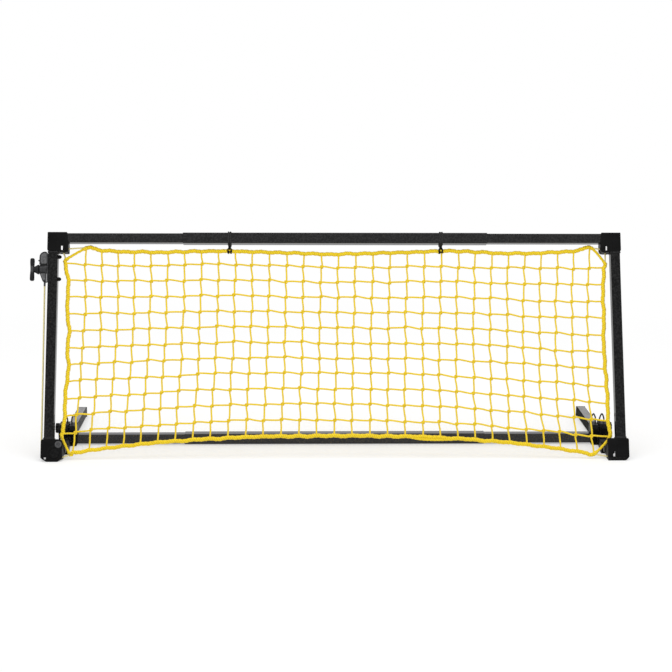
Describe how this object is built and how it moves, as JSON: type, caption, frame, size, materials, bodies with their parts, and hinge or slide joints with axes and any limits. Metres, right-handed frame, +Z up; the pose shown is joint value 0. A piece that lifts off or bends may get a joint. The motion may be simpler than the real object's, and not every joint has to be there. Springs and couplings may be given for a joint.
{
  "type": "portable rebound net",
  "caption": "Low wide portable goal net on a folding square-tube frame, with a cord tensioner and swing-out legs.",
  "frame": {"origin": "middle of the part's box, on the ground it stands on", "axes": "+X along the top bar to the right as seen from the front, +Y to the back, +Z up"},
  "size_m": [1.5798, 0.456, 0.5729],
  "materials": {
    "coated_steel": "satin",
    "black_plastic": "matte",
    "grey_plastic": "satin",
    "dark_metal": "satin",
    "net_yellow": "matte",
    "cord_yellow": "matte",
    "black_webbing": "matte"
  },
  "bodies": {
    "base": {"rear_bar_sleeve": "coated_steel", "rear_bar_tube_left": "coated_steel", "rear_bar_tube_right": "coated_steel", "rear_joint_left": "black_plastic", "rear_joint_right": "black_plastic", "side_rail_left": "coated_steel", "side_rail_right": "coated_steel", "front_foot_left": "black_plastic", "front_foot_right": "black_plastic", "hinge_pin_left": "dark_metal", "hinge_pin_right": "dark_metal", "leg_bolt_left": "dark_metal", "leg_bolt_right": "dark_metal"},
    "frame": {"post_left": "coated_steel", "post_right": "coated_steel", "top_bar_sleeve": "coated_steel", "top_bar_tube_left": "coated_steel", "top_bar_tube_right": "coated_steel", "top_bracket_left": "black_plastic", "top_bracket_right": "black_plastic", "corner_block_left": "black_plastic", "corner_block_right": "black_plastic", "net": "net_yellow", "strap_left": "black_webbing", "strap_right": "black_webbing", "strap_clip_left": "black_plastic", "strap_clip_right": "black_plastic", "cord_outer_run": "cord_yellow", "cord_ferrule": "dark_metal", "cord_corner_top_left": "cord_yellow", "cord_corner_top_right": "cord_yellow", "cord_corner_bottom_left": "cord_yellow", "cord_corner_bottom_right": "cord_yellow", "tensioner_plate": "grey_plastic", "tensioner_housing": "grey_plastic", "tensioner_bolt_upper": "dark_metal", "tensioner_bolt_lower": "dark_metal", "tensioner_nut_upper": "dark_metal", "tensioner_nut_lower": "dark_metal"},
    "leg_left": {"leg_left": "coated_steel", "leg_end_cap_left": "black_plastic"},
    "leg_right": {"leg_right": "coated_steel", "leg_end_cap_right": "black_plastic"},
    "tension_winder": {"tensioner_handle": "grey_plastic", "tensioner_spool": "dark_metal"},
    "release_lever": {"release_lever": "grey_plastic"},
    "roller_top_left": {"cord_roller_top_left": "grey_plastic"},
    "roller_top_right": {"cord_roller_top_right": "grey_plastic"},
    "roller_bottom_left": {"cord_roller_bottom_left": "grey_plastic"},
    "roller_bottom_right": {"cord_roller_bottom_right": "grey_plastic"},
    "knob_left": {"clamp_knob_left": "black_plastic"},
    "knob_right": {"clamp_knob_right": "black_plastic"},
    "peg_left_inner": {"ground_peg_left_inner": "dark_metal"},
    "peg_left_outer": {"ground_peg_left_outer": "dark_metal"},
    "peg_right_inner": {"ground_peg_right_inner": "dark_metal"},
    "peg_right_outer": {"ground_peg_right_outer": "dark_metal"},
    "button_rear_left": {"rear_bar_button_left": "dark_metal"},
    "button_rear_right": {"rear_bar_button_right": "dark_metal"},
    "button_top_left": {"top_bar_button_left": "dark_metal"},
    "button_top_right": {"top_bar_button_right": "dark_metal"}
  },
  "joints": [
    {"name": "frame_fold", "type": "hinge", "parent": "base", "child": "frame", "pos_m": [0.0209, -0.17604, 0.016], "axis": [-1, 0, 0], "range_deg": [0, 50]},
    {"name": "leg_left_swing", "type": "hinge", "parent": "base", "child": "leg_left", "pos_m": [-0.7011, -0.01404, 0.016], "axis": [0, 0, -1], "range_deg": [0, 90]},
    {"name": "leg_right_swing", "type": "hinge", "parent": "base", "child": "leg_right", "pos_m": [0.7429, -0.01404, 0.016], "axis": [0, 0, 1], "range_deg": [0, 90]},
    {"name": "tension_turn", "type": "hinge", "parent": "frame", "child": "tension_winder", "pos_m": [-0.7571, -0.03486, 0.47385], "axis": [-1, 0, 0], "continuous": true},
    {"name": "roller_top_left_spin", "type": "hinge", "parent": "frame", "child": "roller_top_left", "pos_m": [-0.6979, -0.01749, 0.52031], "axis": [0, 0.9367, -0.3502], "continuous": true},
    {"name": "roller_top_right_spin", "type": "hinge", "parent": "frame", "child": "roller_top_right", "pos_m": [0.7397, -0.01749, 0.52031], "axis": [0, 0.9367, -0.3502], "continuous": true},
    {"name": "roller_bottom_left_spin", "type": "hinge", "parent": "frame", "child": "roller_bottom_left", "pos_m": [-0.6979, -0.20786, 0.01114], "axis": [0, 0.9367, -0.3502], "continuous": true},
    {"name": "roller_bottom_right_spin", "type": "hinge", "parent": "frame", "child": "roller_bottom_right", "pos_m": [0.7397, -0.20786, 0.01114], "axis": [0, 0.9367, -0.3502], "continuous": true},
    {"name": "release_lever_lift", "type": "hinge", "parent": "frame", "child": "release_lever", "pos_m": [-0.7636, -0.0261, 0.49727], "axis": [0, 0.9367, -0.3502], "range_deg": [0, 20], "stiffness_Nm_per_rad": 0.05},
    {"name": "knob_left_turn", "type": "hinge", "parent": "base", "child": "knob_left", "pos_m": [-0.7221, -0.05604, 0.044], "axis": [-1, 0, 0], "range_deg": [0, 540]},
    {"name": "knob_right_turn", "type": "hinge", "parent": "base", "child": "knob_right", "pos_m": [0.7639, -0.05604, 0.044], "axis": [1, 0, 0], "range_deg": [0, 540]},
    {"name": "peg_left_inner_push", "type": "slide", "parent": "base", "child": "peg_left_inner", "axis": [0, 0, -1], "range_m": [0, 0.013]},
    {"name": "peg_left_outer_push", "type": "slide", "parent": "base", "child": "peg_left_outer", "axis": [0, 0, -1], "range_m": [0, 0.013]},
    {"name": "peg_right_inner_push", "type": "slide", "parent": "base", "child": "peg_right_inner", "axis": [0, 0, -1], "range_m": [0, 0.013]},
    {"name": "peg_right_outer_push", "type": "slide", "parent": "base", "child": "peg_right_outer", "axis": [0, 0, -1], "range_m": [0, 0.013]},
    {"name": "button_rear_left_press", "type": "slide", "parent": "base", "child": "button_rear_left", "axis": [0, -1, 0], "range_m": [0, 0.0045], "stiffness_N_per_m": 600},
    {"name": "button_rear_right_press", "type": "slide", "parent": "base", "child": "button_rear_right", "axis": [0, -1, 0], "range_m": [0, 0.0045], "stiffness_N_per_m": 600},
    {"name": "button_top_left_press", "type": "slide", "parent": "frame", "child": "button_top_left", "axis": [0, -0.9367, 0.3502], "range_m": [0, 0.0045], "stiffness_N_per_m": 600},
    {"name": "button_top_right_press", "type": "slide", "parent": "frame", "child": "button_top_right", "axis": [0, -0.9367, 0.3502], "range_m": [0, 0.0045], "stiffness_N_per_m": 600}
  ],
  "couplings": [
    {"joint": "roller_top_left_spin", "follows": "tension_turn", "ratio": 1.4},
    {"joint": "roller_top_right_spin", "follows": "tension_turn", "ratio": 1.4},
    {"joint": "roller_bottom_left_spin", "follows": "tension_turn", "ratio": 1.4},
    {"joint": "roller_bottom_right_spin", "follows": "tension_turn", "ratio": 1.4}
  ]
}
